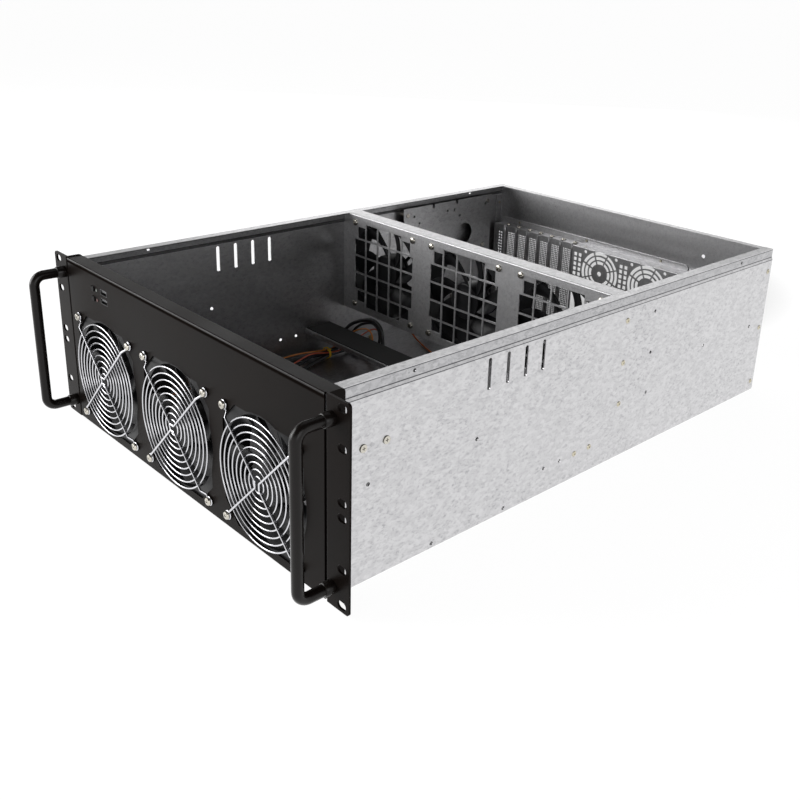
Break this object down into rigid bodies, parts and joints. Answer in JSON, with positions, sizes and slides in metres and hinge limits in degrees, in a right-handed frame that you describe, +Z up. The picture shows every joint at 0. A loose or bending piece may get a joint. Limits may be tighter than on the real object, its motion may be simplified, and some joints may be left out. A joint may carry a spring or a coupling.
{
  "type": "rackmount server case",
  "caption": "Empty rackmount server case without a lid: galvanised steel tub, black front panel with ears, handles and fans behind wire guards, fan wall and vented rear.",
  "frame": {"origin": "centre of the whole case in plan, on the surface it stands on", "axes": "+X to the right seen from the front, +Y from the front panel to the rear, +Z up"},
  "size_m": [0.4826, 0.6829, 0.178],
  "materials": {
    "black_steel": "satin black powder coat",
    "brass_posts": "turned",
    "bright_steel": "plated",
    "button_plastic": "smooth black",
    "cable_black": "smooth black sleeve",
    "chrome_wire": "polished",
    "circuit_board": "solder mask",
    "connector_plastic": "moulded black",
    "fan_plastic": "black moulded",
    "foam_rubber": "matt black",
    "galvanised_steel": "galvanised, fine spangle",
    "led_lens": "diffuse lens",
    "led_lens_red": "diffuse red lens",
    "nickel_steel": "nickel plated",
    "wire_orange": "smooth insulation",
    "wire_yellow": "smooth insulation"
  },
  "bodies": {
    "case": {"chassis_tub": "galvanised_steel", "crossbar": "galvanised_steel", "crossbar_pad": "foam_rubber", "drive_led": "led_lens_red", "fan_guard_1": "chrome_wire", "fan_guard_2": "chrome_wire", "fan_guard_3": "chrome_wire", "fan_wall_wire": "wire_orange", "flank_screws": "nickel_steel", "front_fan_1_frame": "fan_plastic", "front_fan_2_frame": "fan_plastic", "front_fan_3_frame": "fan_plastic", "front_fan_screws": "nickel_steel", "front_io_board": "circuit_board", "front_io_posts": "nickel_steel", "front_panel": "black_steel", "handle_screws": "nickel_steel", "harness_cable_1": "cable_black", "harness_cable_2": "cable_black", "harness_cable_3": "cable_black", "harness_plugs": "connector_plastic", "harness_tie": "wire_yellow", "harness_wire_1": "wire_orange", "harness_wire_2": "wire_orange", "left_handle": "black_steel", "left_rack_ear": "black_steel", "mid_fan_1_frame": "fan_plastic", "mid_fan_2_frame": "fan_plastic", "mid_fan_3_frame": "fan_plastic", "mid_fan_screws": "nickel_steel", "mid_fan_wall": "galvanised_steel", "motherboard_standoffs": "brass_posts", "power_led": "led_lens", "rear_io_panel": "galvanised_steel", "rear_wall": "galvanised_steel", "right_handle": "black_steel", "right_rack_ear": "black_steel", "rivets": "nickel_steel", "side_plate": "galvanised_steel", "side_plate_spacers": "nickel_steel", "slot_cover_1": "galvanised_steel", "slot_cover_2": "galvanised_steel", "slot_cover_3": "galvanised_steel", "slot_cover_4": "galvanised_steel", "slot_cover_5": "galvanised_steel", "slot_cover_6": "galvanised_steel", "slot_cover_7": "galvanised_steel", "slot_cover_screws": "nickel_steel", "usb_port_lower": "bright_steel", "usb_port_upper": "bright_steel"},
    "front_fan_1_rotor_body": {"front_fan_1_rotor": "fan_plastic"},
    "front_fan_2_rotor_body": {"front_fan_2_rotor": "fan_plastic"},
    "front_fan_3_rotor_body": {"front_fan_3_rotor": "fan_plastic"},
    "mid_fan_1_rotor_body": {"mid_fan_1_rotor": "fan_plastic"},
    "mid_fan_2_rotor_body": {"mid_fan_2_rotor": "fan_plastic"},
    "mid_fan_3_rotor_body": {"mid_fan_3_rotor": "fan_plastic"},
    "power_button_body": {"power_button": "button_plastic"},
    "reset_button_body": {"reset_button": "button_plastic"}
  },
  "joints": [
    {"name": "front_fan_1_spin", "type": "hinge", "parent": "case", "child": "front_fan_1_rotor_body", "pos_m": [-0.14145, -0.29035, 0.067], "axis": [0, 1, 0], "continuous": true},
    {"name": "front_fan_2_spin", "type": "hinge", "parent": "case", "child": "front_fan_2_rotor_body", "pos_m": [-0.00615, -0.29035, 0.067], "axis": [0, 1, 0], "continuous": true},
    {"name": "front_fan_3_spin", "type": "hinge", "parent": "case", "child": "front_fan_3_rotor_body", "pos_m": [0.12915, -0.29035, 0.067], "axis": [0, 1, 0], "continuous": true},
    {"name": "mid_fan_1_spin", "type": "hinge", "parent": "case", "child": "mid_fan_1_rotor_body", "pos_m": [-0.1367, 0.06385, 0.1139], "axis": [0, 1, 0], "continuous": true},
    {"name": "mid_fan_2_spin", "type": "hinge", "parent": "case", "child": "mid_fan_2_rotor_body", "pos_m": [0, 0.06385, 0.1139], "axis": [0, 1, 0], "continuous": true},
    {"name": "mid_fan_3_spin", "type": "hinge", "parent": "case", "child": "mid_fan_3_rotor_body", "pos_m": [0.1367, 0.06385, 0.1139], "axis": [0, 1, 0], "continuous": true},
    {"name": "power_button_press", "type": "slide", "parent": "case", "child": "power_button_body", "axis": [0, 1, 0], "range_m": [0, 0.001], "stiffness_N_per_m": 500},
    {"name": "reset_button_press", "type": "slide", "parent": "case", "child": "reset_button_body", "axis": [0, 1, 0], "range_m": [0, 0.001], "stiffness_N_per_m": 500}
  ]
}
